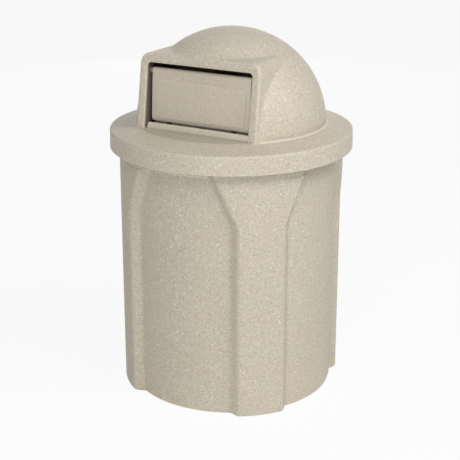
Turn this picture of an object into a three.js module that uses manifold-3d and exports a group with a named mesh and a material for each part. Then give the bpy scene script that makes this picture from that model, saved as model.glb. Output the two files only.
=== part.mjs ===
// Dome top waste receptacle: a round moulded can with four raised columns, a loose liner,
// and a lift-off dome lid whose hooded opening is closed by a hanging flap.
// Millimetres. +Z is up, the flap faces -Y, and the origin is the middle of the base on the floor.

import * as THREE from 'three';
import { mergeVertices } from 'three/addons/utils/BufferGeometryUtils.js';
import Module from 'manifold-3d';

const wasm = await Module();
wasm.setup();

const DEGREE = Math.PI / 180;

// ---------------------------------------------------------------- driving dimensions

const seatGap = 0.3;              // between pieces that touch
const roundSteps = 72;            // facets round the can and the lid
const linerSteps = 48;
const smallSteps = 16;            // facets round rods, bushes and stops

// can
const bodyHeight = 701.6;         // floor to the outer edge of the rim
const panelRadius = 271;          // outer face of the panels between the columns
const columnRise = 22.8;          // columns and rim stand out this far from the panels
const bodyWall = 6;
const bodyEdgeRadius = 5;         // round where the wall meets the base
const columnCount = 4;
const columnHalfWidth = 57.9;     // half the outer face, along its arc
const flankRun = 15;              // how far a flank spreads between outer face and panel
const funnelDrop = 189.6;         // rim down to where a column begins to flare
const funnelSpread = 0.43;        // growth of the half width for each unit of height
const shoulderDrop = 57.6;        // rim down to where the panels turn out to it
const footRecessRadius = 195;     // raised middle of the base
const footRecessDepth = 8;
const footRecessBevel = 10;

// liner
const linerMouthGap = 3;          // between its rim and the mouth of the can
const linerHeadroom = 35.3;       // its rim lies this far below the can's
const linerWall = 3;
const linerTaper = 18;            // base radius is this much less than the top radius
const linerBaseRound = 14;
const linerRimWidth = 8;          // how far the rolled rim stands out
const linerRimDrop = 16;
const handSlotWidth = 110;
const handSlotHeight = 30;
const handSlotDrop = 42;          // rim to the middle of a hand slot

// lid
const lidOverhang = 23.7;         // the skirt stands out this far from the rim
const lidWall = 5;
const skirtHeight = 47.7;
const skirtDraft = 0.6;
const lidEdgeRadius = 5;
const ringSlope = 11.8 * DEGREE;
const domeRadius = 247.7;
const domeCentreDrop = 3.6;       // centre of the sphere below the foot of the dome
const domeFoot = 5;               // concave round where the dome rises from the ring
const domeSteps = 12;             // facets from base to crown

// hood and its opening
const hoodFaceDepth = 187;        // centre line to the hood's face, at the ring
const hoodFaceTilt = 8.2 * DEGREE;
const postWidth = 24.5;           // at each side of the opening
const headerHeight = 23.4;        // over the opening
const hoodDraft = 3;              // each side leans in by this much at the roof
const hoodCornerRadius = 26;
const hoodEdgeRadius = 6;
const openingHalfWidth = 149.5;
const openingHeight = 166;
const openingCornerRadius = 10;
const throatDepth = 44;           // length of the walls that run in from the opening

// sill
const sillSetback = 7;            // behind the hood's face
const sillHeight = 17;
const sillBase = 14;
const sillTop = 9;
const sillEndGap = 1.5;
const sillEndBevel = 6;

// flap and its hinge
const hingeSetback = 39.7;        // hood's face, at the ring, to the rod
const hingeDrop = 22.2;           // head of the opening to the rod
const flapTilt = 3.7 * DEGREE;    // the foot of the flap hangs forward of its top
const flapSideGap = 8.7;
const flapFootGap = 19.2;         // floor of the opening to the foot of the face
const flapBarrelRadius = 9;
const flapThickness = 22;
const flapChamferHeight = 9;
const flapChamferDepth = 4;
const flapLipDrop = 11;
const flapLipThickness = 6;
const flapPanelRise = 1.5;
const flapPanelInset = 13;
const flapPanelDrop = 21;         // rod to the top of the raised panel
const flapPanelRound = 9;
const flapPocketDepth = 7;
const flapPocketMargin = 20;
const flapPocketCount = 3;

const rodRadius = 4;
const bushSleeve = 2;             // wall of the sleeve round the rod
const bushFlangeRadius = 9;
const bushFlangeThickness = 1.6;
const spacerRadius = 7;
const washerRadius = 8;
const washerThickness = 1.2;
const capRadius = 7;
const capLength = 4;
const capCrown = 1.2;

const bumperRadius = 7;
const bumperHeight = 13;
const bumperNeckRadius = 4;
const bumperBarbRadius = 5.5;
const bumperBarbLength = 5;
const bumperSpacing = 190;

// ---------------------------------------------------------------- sizes that follow

const slope = Math.tan(ringSlope);
const columnRadius = panelRadius + columnRise;
const lidRadius = columnRadius + lidOverhang;
const funnelStart = bodyHeight - funnelDrop;
const shoulderHeight = bodyHeight - shoulderDrop;
const mouthRadius = panelRadius - bodyWall;
const lidWallUpright = lidWall / Math.cos(ringSlope);
const ringEdgeHeight = bodyHeight + seatGap + lidWallUpright - (lidRadius - columnRadius) * slope;
const shelfHeight = (lidRadius - domeRadius) * slope;      // the ring's top, at the dome's foot
const domeCentreHeight = shelfHeight - domeCentreDrop;
const openingTop = shelfHeight + openingHeight;
const hoodRoof = openingTop + headerHeight;
const hoodHalfWidth = openingHalfWidth + postWidth;
const hoodFoot = Math.min(shelfHeight, ringHeight(Math.hypot(hoodHalfWidth, hoodFaceDepth)));
const linerFloor = footRecessDepth + bodyWall + seatGap;
const linerHeight = bodyHeight - linerFloor - linerHeadroom;
const linerRimRadius = mouthRadius - linerMouthGap;
const linerTopRadius = linerRimRadius - linerRimWidth;
const sillFaceDepth = hoodFaceDepth - sillSetback;
const sillHalfLength = openingHalfWidth - sillEndGap;
const throatOuterHalf = openingHalfWidth + lidWall;
const hingeDepth = hoodFaceDepth - hingeSetback;
const hingeHeight = openingTop - hingeDrop;
const flapHalfWidth = openingHalfWidth - flapSideGap;
const flapDrop = openingHeight - hingeDrop - flapFootGap;
const rodClearRadius = rodRadius + seatGap;
const bushRadius = rodClearRadius + bushSleeve;
const bushFlangeFace = openingHalfWidth - seatGap - bushFlangeThickness;
const washerFace = throatOuterHalf + seatGap;
const capFace = washerFace + washerThickness + seatGap;
const rodHalfLength = capFace + capLength - capCrown - seatGap;
const flapLipFront = hingeDepth - flapLipOffset(flapDrop);
const bumperDepth = flapLipFront + seatGap + bumperRadius;

// how far behind the rod the front of the lip lies, at a drop below the rod
function flapLipOffset(drop) {
  const faceForward = flapBarrelRadius / Math.cos(flapTilt) + drop * Math.tan(flapTilt);
  return (flapThickness - flapLipThickness) / Math.cos(flapTilt) - faceForward;
}

// ---------------------------------------------------------------- materials

function finish(colour, roughness, metalness = 0) {
  return new THREE.MeshStandardMaterial({ color: colour, roughness, metalness });
}

const sandstone = finish(0xc9bfae, 0.75);
const sandstoneLid = finish(0xcdc3b1, 0.7);
const flapPlastic = finish(0xbdb2a0, 0.6);
const linerPlastic = finish(0x55575a, 0.6);
const steel = finish(0xb9bcc0, 0.3, 1);
const nylon = finish(0xe8e4da, 0.5);
const rubber = finish(0x26262a, 0.9);

// ---------------------------------------------------------------- solids

function toSolid(geometry) {
  const bare = geometry.index ? geometry.toNonIndexed() : geometry.clone();
  bare.deleteAttribute('normal');
  bare.deleteAttribute('uv');
  const merged = mergeVertices(bare, 1e-4);
  const place = merged.getAttribute('position').array;
  const corners = merged.index.array;
  const kept = [];
  for (let i = 0; i < corners.length; i += 3) {
    const [a, b, c] = [corners[i], corners[i + 1], corners[i + 2]];
    if (a !== b && b !== c && c !== a) kept.push(a, b, c);
  }
  if (signedVolume(place, kept) < 0) {
    for (let i = 0; i < kept.length; i += 3) [kept[i], kept[i + 1]] = [kept[i + 1], kept[i]];
  }
  const mesh = new wasm.Mesh({
    numProp: 3,
    vertProperties: new Float32Array(place),
    triVerts: new Uint32Array(kept),
  });
  mesh.merge();
  return new wasm.Manifold(mesh);
}

function signedVolume(place, corners) {
  const [a, b, c] = [new THREE.Vector3(), new THREE.Vector3(), new THREE.Vector3()];
  let sum = 0;
  for (let i = 0; i < corners.length; i += 3) {
    a.fromArray(place, corners[i] * 3);
    b.fromArray(place, corners[i + 1] * 3);
    c.fromArray(place, corners[i + 2] * 3);
    sum += a.dot(b.cross(c));
  }
  return sum;
}

function toMesh(name, solid, material) {
  const { vertProperties, triVerts, numProp } = solid.getMesh();
  const place = new Float32Array(vertProperties.length / numProp * 3);
  for (let i = 0; i < place.length / 3; i += 1) {
    for (let k = 0; k < 3; k += 1) place[i * 3 + k] = vertProperties[i * numProp + k];
  }
  const geometry = new THREE.BufferGeometry();
  geometry.setAttribute('position', new THREE.BufferAttribute(place, 3));
  geometry.setIndex(new THREE.BufferAttribute(new Uint32Array(triVerts), 1));
  const mesh = new THREE.Mesh(geometry, material);
  mesh.name = name;
  return mesh;
}

// a profile of [radius, height] points turned about the Z axis
function turned(profile, steps = roundSteps) {
  const points = profile.map(([radius, height]) => new THREE.Vector2(Math.max(radius, 0), height));
  return toSolid(new THREE.LatheGeometry(points, steps).rotateX(Math.PI / 2));
}

// the same, with its axis along X
function turnedAlongX(profile, steps = smallSteps) {
  const points = profile.map(([radius, along]) => new THREE.Vector2(Math.max(radius, 0), along));
  return toSolid(new THREE.LatheGeometry(points, steps).rotateZ(-Math.PI / 2));
}

// points of an arc, as [across, up]
function arc(across, up, radius, from, to, steps) {
  return Array.from({ length: steps + 1 }, (_, i) => {
    const angle = (from + (to - from) * i / steps) * DEGREE;
    return [across + radius * Math.cos(angle), up + radius * Math.sin(angle)];
  });
}

function shapeOf(points) {
  return new THREE.Shape(points.map(([x, y]) => new THREE.Vector2(x, y)));
}

// an outline of [x, z] points pushed back along +Y from a start
function pushedBack(points, start, depth, edge = 0) {
  const geometry = new THREE.ExtrudeGeometry(shapeOf(points), {
    depth: depth - 2 * edge,
    bevelEnabled: edge > 0,
    bevelThickness: edge,
    bevelSize: edge,
    bevelOffset: -edge,
    bevelSegments: 3,
  });
  return toSolid(geometry.rotateX(Math.PI / 2).translate(0, start + depth - edge, 0));
}

// an outline of [y, z] points drawn along X, centred
function drawnAcross(points, halfWidth, edge = 0) {
  const geometry = new THREE.ExtrudeGeometry(shapeOf(points), {
    depth: 2 * (halfWidth - edge),
    bevelEnabled: edge > 0,
    bevelThickness: edge,
    bevelSize: edge,
    bevelOffset: -edge,
    bevelSegments: 2,
  });
  return toSolid(geometry.rotateY(Math.PI / 2).rotateX(Math.PI / 2).translate(-halfWidth + edge, 0, 0));
}

// a solid between two outlines with the same number of points
function lofted(near, far) {
  const count = near.length;
  const cap = THREE.ShapeUtils.triangulateShape(near.map(p => new THREE.Vector2(p.x, p.z)), []);
  const corners = cap.flatMap(([a, b, c]) => [a, b, c, count + c, count + b, count + a]);
  for (let i = 0; i < count; i += 1) {
    const next = (i + 1) % count;
    corners.push(i, count + i, next, next, count + i, count + next);
  }
  const geometry = new THREE.BufferGeometry();
  geometry.setAttribute('position', new THREE.Float32BufferAttribute(
    [...near, ...far].flatMap(p => p.toArray()), 3));
  geometry.setIndex(corners);
  return toSolid(geometry);
}

// ---------------------------------------------------------------- can

// The revolved part of the can, drawn in by an inset. Its rim follows the slope of the lid.
function canRound(inset) {
  const floor = inset;
  const panel = panelRadius - inset;
  const column = columnRadius - inset;
  const turn = inset * Math.tan(22.5 * DEGREE);
  const rim = bodyHeight - inset / Math.cos(ringSlope) + inset * slope;
  const edge = Math.max(bodyEdgeRadius - inset, 1);
  return turned([
    [0, floor],
    ...arc(panel - edge, floor + edge, edge, -90, 0, 3),
    [panel, shoulderHeight + turn],
    [column, shoulderHeight + columnRadius - panelRadius + turn],
    [column, rim],
    [mouthRadius, rim + (column - mouthRadius) * slope],
    [0, rim + (column - mouthRadius) * slope],
  ]);
}

// A column, facing -Y: its outer face lies on the can's largest round and its flanks slant.
function column(inset) {
  const top = bodyHeight - 2 * bodyWall;
  const flank = (height, side) => {
    const half = columnHalfWidth - inset + Math.max(height - funnelStart, 0) * funnelSpread;
    const edgeAngle = half / columnRadius;
    const footAngle = (half + flankRun) / panelRadius;
    const face = columnRadius - inset;
    const base = panelRadius - inset;
    const edge = new THREE.Vector3(side * face * Math.sin(edgeAngle), -face * Math.cos(edgeAngle), height);
    const foot = new THREE.Vector3(side * base * Math.sin(footAngle), -base * Math.cos(footAngle), height);
    return { near: edge.clone().lerp(foot, -0.4), far: edge.clone().lerp(foot, 2) };
  };
  const stations = [[-1, 1], [funnelStart, 1], [top, 1], [top, -1], [funnelStart, -1], [-1, -1]];
  const flanks = stations.map(([height, side]) => flank(height, side));
  const wedge = lofted(flanks.map(f => f.near), flanks.map(f => f.far));
  const face = columnRadius - inset;
  const edge = Math.max(bodyEdgeRadius - inset, 1);
  return wedge.intersect(turned([
    [0, inset],
    ...arc(face - edge, inset + edge, edge, -90, 0, 3),
    [face, top - inset],
    [0, top - inset],
  ]));
}

function canForm(inset) {
  let form = canRound(inset);
  for (let i = 0; i < columnCount; i += 1) {
    form = form.add(column(inset).rotate([0, 0, (i + 0.5) * 360 / columnCount]));
  }
  return form;
}

// the raised middle of the base, grown by the wall for the inside
function footRecess(grow) {
  const low = -1;
  const top = footRecessDepth + grow;
  return turned([
    [0, low],
    [footRecessRadius + grow, low],
    [footRecessRadius + grow, grow],
    [footRecessRadius + grow - footRecessBevel, top],
    [0, top],
  ]);
}

function outerBody() {
  const mouth = turned([[0, bodyHeight - 4 * bodyWall], [mouthRadius, bodyHeight - 4 * bodyWall],
    [mouthRadius, bodyHeight + 4 * bodyWall], [0, bodyHeight + 4 * bodyWall]]);
  const cavity = canForm(bodyWall).subtract(footRecess(bodyWall)).add(mouth);
  return toMesh('outer_body', canForm(0).subtract(footRecess(0)).subtract(cavity), sandstone);
}

// ---------------------------------------------------------------- liner

function liner() {
  const base = linerTopRadius - linerTaper;
  const round = linerBaseRound;
  const inner = round - linerWall;
  const lipTop = linerHeight - linerWall;
  const shell = turned([
    [0, 0],
    ...arc(base - round, round, round, -90, 0, 4),
    [linerTopRadius, linerHeight - linerRimDrop],
    [linerTopRadius, lipTop],
    [linerRimRadius - linerWall, lipTop],
    [linerRimRadius - linerWall, linerHeight - linerRimDrop],
    [linerRimRadius, linerHeight - linerRimDrop],
    [linerRimRadius, linerHeight - linerWall],
    [linerRimRadius - linerWall, linerHeight],
    [linerTopRadius - linerWall, linerHeight],
    ...arc(base - round, round, inner, 0, -90, 4),
    [0, linerWall],
  ], linerSteps);
  const slotHeight = linerHeight - handSlotDrop;
  const half = handSlotHeight / 2;
  const run = handSlotWidth / 2 - half;
  const outline = [...arc(run, slotHeight, half, -90, 90, 6), ...arc(-run, slotHeight, half, 90, 270, 6)];
  const slot = pushedBack(outline, -lidRadius, 2 * lidRadius).rotate([0, 0, 90]);
  return toMesh('liner', shell.subtract(slot), linerPlastic);
}

// ---------------------------------------------------------------- lid

// height of the ring's upper face at a radius
function ringHeight(radius) {
  return (lidRadius - radius) * slope;
}

function ringForm(inset) {
  const outer = lidRadius - inset;
  const drop = inset / Math.cos(ringSlope);
  const edge = Math.max(lidEdgeRadius - inset, 1);
  const shelf = domeRadius - (drop - inset) / slope;
  const low = -skirtHeight - (inset > 0 ? 1 : 0);
  const top = shelfHeight - inset;
  return turned([
    [0, low],
    [outer + skirtDraft, low],
    ...arc(outer - edge, ringHeight(outer - edge) - drop - edge, edge, 0, 90, 4),
    [shelf, top],
    [0, top],
  ]);
}

function domeForm(inset) {
  const radius = domeRadius - inset;
  const low = shelfHeight - (inset > 0 ? 2 * inset : 2);
  const foot = inset > 0 ? 0 : domeFoot;
  const start = Math.asin((shelfHeight + foot - domeCentreHeight) / radius) / DEGREE;
  const skirtFoot = [
    [0, low],
    [radius + foot, low],
    [radius + foot, ringHeight(radius + foot)],
  ];
  const plain = [[0, low], [radius, low]];
  return turned([
    ...(foot > 0 ? skirtFoot : plain),
    ...arc(0, domeCentreHeight, radius, start, 90, inset > 0 ? domeSteps * 2 / 3 : domeSteps),
  ]);
}

// leaning the front of the hood back, with the ring's shelf as the line that stays
function leanBack(solid) {
  const lean = Math.tan(hoodFaceTilt);
  return solid.warp(point => {
    point[1] += (point[2] - shelfHeight) * lean;
  });
}

function behindFace(inset) {
  const size = 4 * lidRadius;
  const block = new THREE.BoxGeometry(size, size, size).translate(0, size / 2 - hoodFaceDepth + inset, 0);
  return leanBack(toSolid(block));
}

// an arched outline with round upper corners
function archOutline(halfFoot, halfTop, foot, top, radius) {
  return [
    [-halfFoot, foot],
    [halfFoot, foot],
    ...arc(halfTop - radius, top - radius, radius, 0, 90, 6),
    ...arc(-halfTop + radius, top - radius, radius, 90, 180, 6),
  ];
}

function hoodForm(inset) {
  const low = hoodFoot - (inset > 0 ? 2 * inset : 3);
  const outline = archOutline(
    hoodHalfWidth - inset,
    hoodHalfWidth - hoodDraft - inset,
    low,
    hoodRoof - inset,
    hoodCornerRadius - inset,
  );
  const depth = hoodFaceDepth - inset;
  const block = pushedBack(outline, -depth, depth + throatDepth, inset > 0 ? 0 : hoodEdgeRadius);
  const size = 4 * lidRadius;
  const front = new THREE.BoxGeometry(size, size, size).translate(0, -size / 2 - inset, 0);
  return leanBack(block).intersect(toSolid(front));
}

// the arched space of the opening, grown by a wall for the walls round it
function throatForm(grow, start, depth) {
  const outline = archOutline(
    openingHalfWidth + grow,
    openingHalfWidth + grow,
    shelfHeight - grow,
    openingTop + grow,
    openingCornerRadius + grow,
  );
  return leanBack(pushedBack(outline, start - hoodFaceDepth, depth));
}

// the low ridge across the foot of the opening
function sill() {
  const foot = shelfHeight - lidWall / 2;
  const top = shelfHeight + sillHeight;
  const edge = sillTop / 4;
  const across = drawnAcross([
    [-sillFaceDepth, foot],
    [-sillFaceDepth + sillBase, foot],
    [-sillFaceDepth + sillTop, top - edge],
    [-sillFaceDepth + sillTop - edge, top],
    [-sillFaceDepth + edge, top],
    [-sillFaceDepth, top - edge],
  ], sillHalfLength);
  const ends = pushedBack([
    [-sillHalfLength, foot],
    [sillHalfLength, foot],
    [sillHalfLength - sillEndBevel, top],
    [-sillHalfLength + sillEndBevel, top],
  ], -hoodFaceDepth, 2 * throatDepth);
  return across.intersect(ends);
}

function domeLid() {
  const outside = ringForm(0)
    .add(domeForm(0).intersect(behindFace(0)))
    .add(hoodForm(0));
  const inside = ringForm(lidWall)
    .add(domeForm(lidWall).intersect(behindFace(lidWall)))
    .add(hoodForm(lidWall));
  const bushHole = turnedAlongX([
    [0, -lidRadius], [bushRadius + seatGap, -lidRadius], [bushRadius + seatGap, lidRadius], [0, lidRadius],
  ]).translate([0, -hingeDepth, hingeHeight]).intersect(throatForm(lidWall + seatGap, 0, throatDepth + 1));
  let lid = outside.subtract(inside)
    .add(throatForm(lidWall, lidWall / 2, throatDepth))
    .subtract(throatForm(0, -hoodFaceDepth, hoodFaceDepth + 2 * throatDepth))
    .subtract(bushHole);
  lid = lid.add(sill());
  for (const side of [-1, 1]) {
    const hole = turned([
      [0, 0],
      [bumperNeckRadius + seatGap, 0],
      [bumperNeckRadius + seatGap, 2 * shelfHeight],
      [0, 2 * shelfHeight],
    ], smallSteps).translate([side * bumperSpacing / 2, -bumperDepth, 0]);
    lid = lid.subtract(hole);
  }
  return toMesh('dome_lid', lid, sandstoneLid);
}

// ---------------------------------------------------------------- flap, placed from its rod

function pushDoor() {
  const lean = Math.tan(flapTilt);
  const front = drop => -flapBarrelRadius / Math.cos(flapTilt) - drop * lean;
  const thick = flapThickness / Math.cos(flapTilt);
  const lip = flapLipThickness / Math.cos(flapTilt);
  const lipFoot = flapDrop + flapLipDrop;
  const edge = flapLipThickness / 4;
  const tilt = flapTilt / DEGREE;
  const section = [
    ...arc(0, 0, flapBarrelRadius, 90, 180 + tilt, 8),
    [front(flapDrop - flapChamferHeight), -flapDrop + flapChamferHeight],
    [front(flapDrop) + flapChamferDepth, -flapDrop],
    [front(flapDrop) + thick - lip, -flapDrop],
    [front(lipFoot) + thick - lip + edge, -lipFoot],
    [front(lipFoot) + thick - edge, -lipFoot],
    [front(flapDrop) + thick, -flapDrop],
    [front(flapBarrelRadius) + thick, -flapBarrelRadius],
    ...arc(0, 0, flapBarrelRadius, 0, 90, 5).slice(0, -1),
  ];
  let flap = drawnAcross(section, flapHalfWidth, edge);

  const tilted = points => pushedBack(points, 0, flapPanelRise + flapBarrelRadius / 2, flapPanelRise)
    .warp(point => {
      point[1] += front(-point[2]) - flapPanelRise;
    });
  const panelHalf = flapHalfWidth - flapPanelInset;
  const round = flapPanelRound;
  const panelFoot = -flapDrop + flapChamferHeight;
  flap = flap.add(tilted([
    ...arc(-panelHalf + round, panelFoot + round, round, 180, 270, 4),
    ...arc(panelHalf - round, panelFoot + round, round, 270, 360, 4),
    ...arc(panelHalf - round, -flapPanelDrop - round, round, 0, 90, 4),
    ...arc(-panelHalf + round, -flapPanelDrop - round, round, 90, 180, 4),
  ]));

  // shallow pockets moulded into the back
  const pitch = 2 * (flapHalfWidth - flapPocketMargin / 2) / flapPocketCount;
  const pocketHalf = (pitch - flapPocketMargin) / 2;
  for (let i = 0; i < flapPocketCount; i += 1) {
    const middle = (i - (flapPocketCount - 1) / 2) * pitch;
    const top = -flapBarrelRadius - flapPocketMargin;
    const foot = -flapDrop + flapPocketMargin / 2;
    const pocket = pushedBack([
      ...arc(middle - pocketHalf + round, foot + round, round, 180, 270, 3),
      ...arc(middle + pocketHalf - round, foot + round, round, 270, 360, 3),
      ...arc(middle + pocketHalf - round, top - round, round, 0, 90, 3),
      ...arc(middle - pocketHalf + round, top - round, round, 90, 180, 3),
    ], -flapPocketDepth, flapPocketDepth + flapThickness).warp(point => {
      point[1] += front(-point[2]) + thick;
    });
    flap = flap.subtract(pocket);
  }
  const bore = turnedAlongX([
    [0, -lidRadius], [rodClearRadius, -lidRadius], [rodClearRadius, lidRadius], [0, lidRadius],
  ]);
  return toMesh('push_door', flap.subtract(bore), flapPlastic);
}

// ---------------------------------------------------------------- hinge parts, placed from the rod

function hingeRod() {
  const edge = rodRadius / 8;
  return toMesh('hinge_rod', turnedAlongX([
    [0, -rodHalfLength],
    [rodRadius - edge, -rodHalfLength],
    [rodRadius, -rodHalfLength + edge],
    [rodRadius, rodHalfLength - edge],
    [rodRadius - edge, rodHalfLength],
    [0, rodHalfLength],
  ]), steel);
}

function sleeve(name, profile, material, side) {
  const mirrored = profile.map(([radius, along]) => [radius, side * along]);
  return toMesh(name, turnedAlongX([...mirrored, mirrored[0]]), material);
}

function hingeParts(name, side) {
  const bore = rodClearRadius;
  const spacerStart = flapHalfWidth + seatGap;
  const spacerEnd = bushFlangeFace - seatGap;
  const bushFlangeEnd = bushFlangeFace + bushFlangeThickness;
  const capEnd = capFace + capLength;
  return [
    sleeve(`rod_spacer_${name}`, [
      [bore, spacerStart], [spacerRadius, spacerStart], [spacerRadius, spacerEnd], [bore, spacerEnd],
    ], nylon, side),
    sleeve(`hinge_bush_${name}`, [
      [bore, bushFlangeFace], [bushFlangeRadius, bushFlangeFace], [bushFlangeRadius, bushFlangeEnd],
      [bushRadius, bushFlangeEnd], [bushRadius, throatOuterHalf], [bore, throatOuterHalf],
    ], nylon, side),
    sleeve(`rod_washer_${name}`, [
      [bore, washerFace], [washerRadius, washerFace],
      [washerRadius, washerFace + washerThickness], [bore, washerFace + washerThickness],
    ], steel, side),
    toMesh(`rod_cap_${name}`, turnedAlongX([
      [bore, side * capFace],
      [capRadius, side * capFace],
      [capRadius - capCrown, side * capEnd],
      [0, side * capEnd],
      [0, side * (capEnd - capCrown)],
      [bore, side * (capEnd - capCrown)],
      [bore, side * capFace],
    ]), steel),
  ];
}

// a push-in stop, standing on the floor of the opening
function doorBumper(name, side) {
  const under = -lidWall - seatGap;
  const neck = bumperNeckRadius;
  const edge = bumperRadius / 5;
  const bumper = toMesh(`door_bumper_${name}`, turned([
    [0, under - bumperBarbLength],
    [neck - edge, under - bumperBarbLength],
    [bumperBarbRadius, under],
    [neck, under],
    [neck, seatGap],
    [bumperRadius, seatGap],
    [bumperRadius, bumperHeight - edge],
    [bumperRadius - edge, bumperHeight],
    [0, bumperHeight],
  ], smallSteps), rubber);
  bumper.position.set(side * bumperSpacing / 2, -bumperDepth, shelfHeight);
  return bumper;
}

// ---------------------------------------------------------------- assembly

const receptacle = new THREE.Group();
receptacle.add(outerBody());

const linerMesh = liner();
linerMesh.position.z = linerFloor;
receptacle.add(linerMesh);

const lidGroup = new THREE.Group();
lidGroup.position.z = ringEdgeHeight;
lidGroup.add(domeLid());

const hingeGroup = new THREE.Group();
hingeGroup.position.set(0, -hingeDepth, hingeHeight);
hingeGroup.add(pushDoor(), hingeRod());
for (const [name, side] of [['left', -1], ['right', 1]]) {
  hingeGroup.add(...hingeParts(name, side));
  lidGroup.add(doorBumper(name, side));
}
lidGroup.add(hingeGroup);
receptacle.add(lidGroup);

export default receptacle;
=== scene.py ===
# Dome top waste receptacle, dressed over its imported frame.
# Metres. The flap faces -Y, +Z is up, and the floor is at zero.

from math import acos, atan2, cos, degrees, hypot, pi, radians, sin, sqrt, tan

import bmesh
import bpy
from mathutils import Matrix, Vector


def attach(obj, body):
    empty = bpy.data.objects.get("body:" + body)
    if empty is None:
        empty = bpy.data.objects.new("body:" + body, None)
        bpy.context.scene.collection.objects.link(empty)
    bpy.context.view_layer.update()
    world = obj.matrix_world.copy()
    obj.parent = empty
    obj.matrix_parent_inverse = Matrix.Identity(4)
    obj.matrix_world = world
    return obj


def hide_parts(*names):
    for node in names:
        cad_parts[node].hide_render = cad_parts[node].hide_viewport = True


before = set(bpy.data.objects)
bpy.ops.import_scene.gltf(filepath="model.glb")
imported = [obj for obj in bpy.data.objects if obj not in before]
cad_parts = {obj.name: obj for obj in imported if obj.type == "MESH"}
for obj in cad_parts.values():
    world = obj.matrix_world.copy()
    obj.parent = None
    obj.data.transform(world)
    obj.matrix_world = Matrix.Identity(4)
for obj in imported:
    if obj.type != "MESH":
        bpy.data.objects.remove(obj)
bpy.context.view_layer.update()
print("frame loaded:", len(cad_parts), "nodes")


# shader maths: a socket that takes + - * and ** as Math nodes
class Value:
    def __init__(self, finish, socket):
        self.finish = finish
        self.socket = socket

    def maths(self, operation, *terms):
        return self.finish.node("ShaderNodeMath", {"operation": operation}, dict(enumerate(terms)))

    def __add__(self, other):
        return self.maths("ADD", self, other)

    def __radd__(self, other):
        return self.maths("ADD", other, self)

    def __sub__(self, other):
        return self.maths("SUBTRACT", self, other)

    def __rsub__(self, other):
        return self.maths("SUBTRACT", other, self)

    def __mul__(self, other):
        return self.maths("MULTIPLY", self, other)

    def __rmul__(self, other):
        return self.maths("MULTIPLY", other, self)

    def __pow__(self, other):
        return self.maths("POWER", self, other)

    def __rpow__(self, other):
        return self.maths("POWER", other, self)

    def __abs__(self):
        return self.maths("ABSOLUTE", self)


def socketOf(sockets, key):
    if isinstance(key, int):
        return sockets[key]
    return next(socket for socket in sockets if key in (socket.identifier, socket.name))


# the nodes of a material or of the world
class Finish:
    nodesPerRow = 9
    nodeGap = (220, 260)         # keeps the tree readable in the shader editor

    def __init__(self, owner):
        self.owner = owner
        owner.use_nodes = True
        self.tree = owner.node_tree
        self.tree.nodes.clear()
        self.place = self.node("ShaderNodeTexCoord", output="Object")

    # any node: its settings first, then the values or links of its sockets
    def node(self, kind, settings=None, sockets=None, output=0):
        row, column = divmod(len(self.tree.nodes), self.nodesPerRow)
        made = self.tree.nodes.new(kind)
        made.location = (self.nodeGap[0] * column, -self.nodeGap[1] * row)
        for name, value in (settings or {}).items():
            setattr(made, name, value)
        for key, value in (sockets or {}).items():
            target = socketOf(made.inputs, key)
            if isinstance(value, Value):
                self.tree.links.new(value.socket, target)
            else:
                target.default_value = (*value, 1) if target.type == "RGBA" else value
        return Value(self, socketOf(made.outputs, output)) if made.outputs else None

    def noise(self, size, detail, roughness=0.5, place=None):
        sockets = {"Vector": place or self.place, "Scale": 1 / size, "Detail": detail,
                   "Roughness": roughness}
        return self.node("ShaderNodeTexNoise", None, sockets, "Fac")

    # the pattern's own place, moved or stretched
    def mapped(self, **sockets):
        return self.node("ShaderNodeMapping", None, {"Vector": self.place, **sockets})

    # 0 up to low, 1 from high on
    def step(self, value, low, high):
        sockets = {"Value": value, "From Min": low, "From Max": high}
        return self.node("ShaderNodeMapRange", {"clamp": True}, sockets)

    def mixColour(self, factor, first, second, blend="MIX"):
        settings = {"data_type": "RGBA", "blend_type": blend}
        sockets = {"Factor_Float": factor, "A_Color": first, "B_Color": second}
        return self.node("ShaderNodeMix", settings, sockets, "Result_Color")

    def bump(self, height, depth, under=None):
        sockets = {"Height": height, "Strength": 1.0, "Distance": depth}
        if under is not None:
            sockets["Normal"] = under
        return self.node("ShaderNodeBump", None, sockets)

    def surface(self, colour, roughness, normal, metallic=0.0):
        sockets = {"Base Color": colour, "Roughness": roughness, "Normal": normal, "Metallic": metallic}
        shader = self.node("ShaderNodeBsdfPrincipled", None, sockets)
        self.node("ShaderNodeOutputMaterial", None, {"Surface": shader})
        return self.owner

    # 1 where the camera sees it straight, mirrored or through something
    def seen(self):
        straight = self.node("ShaderNodeLightPath", output="Is Camera Ray")
        mirrored = self.node("ShaderNodeLightPath", output="Is Glossy Ray")
        passed = self.node("ShaderNodeLightPath", output="Is Transmission Ray")
        return straight + mirrored + passed


def newMaterial(name):
    return Finish(bpy.data.materials.new(name))


# small helpers for shapes

mergeGap = 1e-6                  # vertices nearer than this are one


def smoothMax(a, b, reach):
    lap = max(reach - abs(a - b), 0) / reach
    return max(a, b) + lap * lap * reach / 4


def smoothMin(a, b, reach):
    return -smoothMax(-a, -b, reach)


def between(value, low, high):
    return min(max(value, low), high)


def spread(start, end, count):
    return [start + (end - start) * i / count for i in range(count + 1)]


# points of an arc as (across, up), angles in degrees
def arc(across, up, radius, start, end, steps):
    turns = [radians(angle) for angle in spread(start, end, steps)]
    return [(across + radius * cos(turn), up + radius * sin(turn)) for turn in turns]


# a box's outline with round corners, as (across, up)
def roundedBox(left, right, foot, top, radius, steps):
    corners = [(right - radius, foot + radius, -90), (right - radius, top - radius, 0),
               (left + radius, top - radius, 90), (left + radius, foot + radius, 180)]
    return [p for across, up, start in corners for p in arc(across, up, radius, start, start + 90, steps)]


# a chain of vertices joined by edges
def chain(bm, points):
    verts = [bm.verts.new(p) for p in points]
    return verts, [bm.edges.new(pair) for pair in zip(verts, verts[1:])]


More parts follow.
